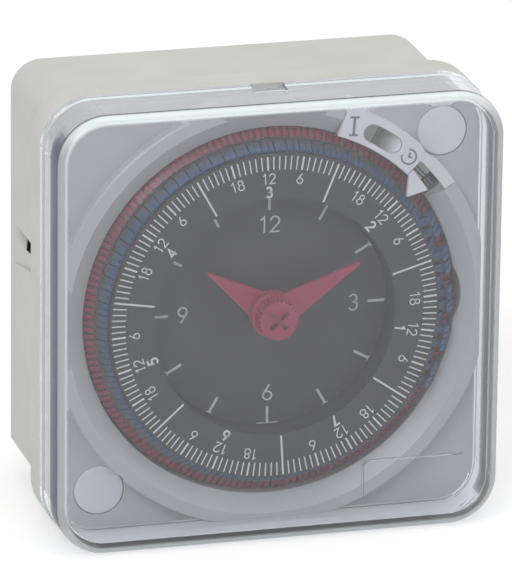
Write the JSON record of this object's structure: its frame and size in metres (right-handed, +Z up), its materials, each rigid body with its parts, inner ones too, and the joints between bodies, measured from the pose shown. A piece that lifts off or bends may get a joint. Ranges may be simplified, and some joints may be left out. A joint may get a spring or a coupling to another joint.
{
  "type": "weekly analogue time switch",
  "caption": "Square panel-mounted weekly analogue time switch with clear pull-off cover, clock hands, turning week dial and captive tappets.",
  "frame": {"origin": "dial axis at the rear face", "axes": "+Y along the dial axis out of the rear, so the dial faces -Y; +Z up; +X to the right seen from the front"},
  "size_m": [0.072, 0.041, 0.072],
  "materials": {
    "grey_case": "fine satin moulding",
    "light_plate": "fine satin moulding",
    "white_plastic": "fine satin moulding",
    "clear_cover": "clear, polished",
    "red_plastic": "satin moulding",
    "blue_plastic": "satin moulding",
    "dial_black": "matt, printed",
    "steel": "zinc plated",
    "brass": "machined",
    "natural_plastic": "moulded acetal",
    "black_plastic": "moulded",
    "copper": "enamelled winding",
    "magnet": "bonded ferrite",
    "lead_sheath": "smooth sheath"
  },
  "bodies": {
    "case": {"housing": "grey_case", "faceplate": "light_plate", "case_screws": "steel", "screw_caps": "white_plastic", "switch_plate": "white_plastic", "time_pointer": "white_plastic", "centre_sleeve": "black_plastic", "hour_disc": "dial_black", "motor_can": "steel", "motor_plate": "steel", "motor_coil": "copper", "back_plate": "black_plastic", "front_plate": "natural_plastic", "plate_pillars": "brass", "movement_screws": "steel", "motion_bridge": "black_plastic", "bridge_screws": "steel", "microswitch_case": "black_plastic", "microswitch_lid": "red_plastic", "contact_blade": "brass", "switch_terminals": "brass", "feeler_pin": "steel", "terminal_block": "black_plastic", "terminal_clamps": "brass", "terminal_screws": "steel", "leads": "lead_sheath"},
    "cover": {"clear_cover": "clear_cover"},
    "minute": {"minute_shaft": "steel", "minute_hand": "red_plastic", "hand_knob": "red_plastic", "centre_wheel": "brass", "cannon_pinion": "brass", "clutch_spring": "brass"},
    "hour": {"hour_wheel": "natural_plastic", "hour_hand": "red_plastic"},
    "week": {"week_dial": "dial_black", "toothed_ring": "red_plastic", "tappets": "blue_plastic", "week_gear": "natural_plastic"},
    "reduction": {"reduction_pinion": "steel", "reduction_wheel": "natural_plastic"},
    "drive_pinion": {"motor_pinion": "steel"},
    "minute_idler": {"minute_wheel": "natural_plastic"},
    "week_drive": {"week_drive_wheel": "natural_plastic", "week_drive_pinion": "steel"},
    "rotor": {"motor_rotor": "magnet"},
    "lever": {"manual_lever": "white_plastic"},
    "feeler": {"switch_feeler": "black_plastic"},
    "button": {"switch_button": "natural_plastic"},
    "tappet_01": {"switched_tappet_01": "blue_plastic"},
    "tappet_02": {"switched_tappet_02": "blue_plastic"},
    "tappet_03": {"switched_tappet_03": "blue_plastic"},
    "tappet_04": {"switched_tappet_04": "blue_plastic"},
    "tappet_05": {"switched_tappet_05": "blue_plastic"},
    "tappet_06": {"switched_tappet_06": "blue_plastic"},
    "tappet_07": {"switched_tappet_07": "blue_plastic"},
    "tappet_08": {"switched_tappet_08": "blue_plastic"},
    "tappet_09": {"switched_tappet_09": "blue_plastic"},
    "tappet_10": {"switched_tappet_10": "blue_plastic"}
  },
  "joints": [
    {"name": "cover_pull", "type": "slide", "parent": "case", "child": "cover", "axis": [0, -1, 0], "range_m": [0, 0.02]},
    {"name": "minute_turn", "type": "hinge", "parent": "case", "child": "minute", "pos_m": [0, 0, 0], "axis": [0, 1, 0], "continuous": true},
    {"name": "hour_turn", "type": "hinge", "parent": "case", "child": "hour", "pos_m": [0, 0, 0], "axis": [0, 1, 0], "continuous": true},
    {"name": "week_turn", "type": "hinge", "parent": "case", "child": "week", "pos_m": [0, 0, 0], "axis": [0, 1, 0], "continuous": true},
    {"name": "reduction_turn", "type": "hinge", "parent": "case", "child": "reduction", "pos_m": [-0.01082, 0, 0.01082], "axis": [0, 1, 0], "continuous": true},
    {"name": "drive_pinion_turn", "type": "hinge", "parent": "case", "child": "drive_pinion", "pos_m": [-0.02036, 0, 0.00127], "axis": [0, 1, 0], "continuous": true},
    {"name": "minute_idler_turn", "type": "hinge", "parent": "case", "child": "minute_idler", "pos_m": [0.0072, 0, 0], "axis": [0, 1, 0], "continuous": true},
    {"name": "week_drive_turn", "type": "hinge", "parent": "case", "child": "week_drive", "pos_m": [0, 0, -0.0081], "axis": [0, 1, 0], "continuous": true},
    {"name": "rotor_turn", "type": "hinge", "parent": "case", "child": "rotor", "pos_m": [-0.011, 0, 0.003], "axis": [0, 1, 0], "continuous": true},
    {"name": "manual_switch", "type": "hinge", "parent": "case", "child": "lever", "pos_m": [0, 0, 0], "axis": [0, -1, 0], "range_deg": [0, 5]},
    {"name": "feeler_swing", "type": "hinge", "parent": "case", "child": "feeler", "pos_m": [0.0292, 0, 0.0125], "axis": [0, 1, 0], "range_deg": [0, 10], "stiffness_Nm_per_rad": 0.0009, "springref_deg": -22.92},
    {"name": "button_press", "type": "slide", "parent": "case", "child": "button", "axis": [-1, 0, 0], "range_m": [0, 0.0013]},
    {"name": "tappet_01_slide", "type": "slide", "parent": "week", "child": "tappet_01", "axis": [0.8818, 0, 0.4717], "range_m": [-0.0016, 0]},
    {"name": "tappet_02_slide", "type": "slide", "parent": "week", "child": "tappet_02", "axis": [0.9146, 0, 0.4045], "range_m": [-0.0016, 0]},
    {"name": "tappet_03_slide", "type": "slide", "parent": "week", "child": "tappet_03", "axis": [0.9646, 0, 0.2636], "range_m": [-0.0016, 0]},
    {"name": "tappet_04_slide", "type": "slide", "parent": "week", "child": "tappet_04", "axis": [0.9816, 0, 0.1908], "range_m": [-0.0016, 0]},
    {"name": "tappet_05_slide", "type": "slide", "parent": "week", "child": "tappet_05", "axis": [0.9991, 0, 0.0424], "range_m": [-0.0016, 0]},
    {"name": "tappet_06_slide", "type": "slide", "parent": "week", "child": "tappet_06", "axis": [0.9995, 0, -0.0324], "range_m": [-0.0016, 0]},
    {"name": "tappet_07_slide", "type": "slide", "parent": "week", "child": "tappet_07", "axis": [0.9835, 0, -0.181], "range_m": [-0.0016, 0]},
    {"name": "tappet_08_slide", "type": "slide", "parent": "week", "child": "tappet_08", "axis": [0.9672, 0, -0.254], "range_m": [-0.0016, 0]},
    {"name": "tappet_09_slide", "type": "slide", "parent": "week", "child": "tappet_09", "axis": [0.9185, 0, -0.3953], "range_m": [-0.0016, 0]},
    {"name": "tappet_10_slide", "type": "slide", "parent": "week", "child": "tappet_10", "axis": [0.8864, 0, -0.4629], "range_m": [-0.0016, 0]}
  ],
  "couplings": [
    {"joint": "hour_turn", "follows": "minute_turn", "ratio": 0.083333},
    {"joint": "week_turn", "follows": "minute_turn", "ratio": 0.0059524},
    {"joint": "reduction_turn", "follows": "minute_turn", "ratio": -7.5},
    {"joint": "drive_pinion_turn", "follows": "minute_turn", "ratio": 60},
    {"joint": "minute_idler_turn", "follows": "minute_turn", "ratio": -0.33333},
    {"joint": "week_drive_turn", "follows": "minute_turn", "ratio": -0.02381},
    {"joint": "button_press", "follows": "feeler_swing", "m_per_rad": 0.0065}
  ]
}
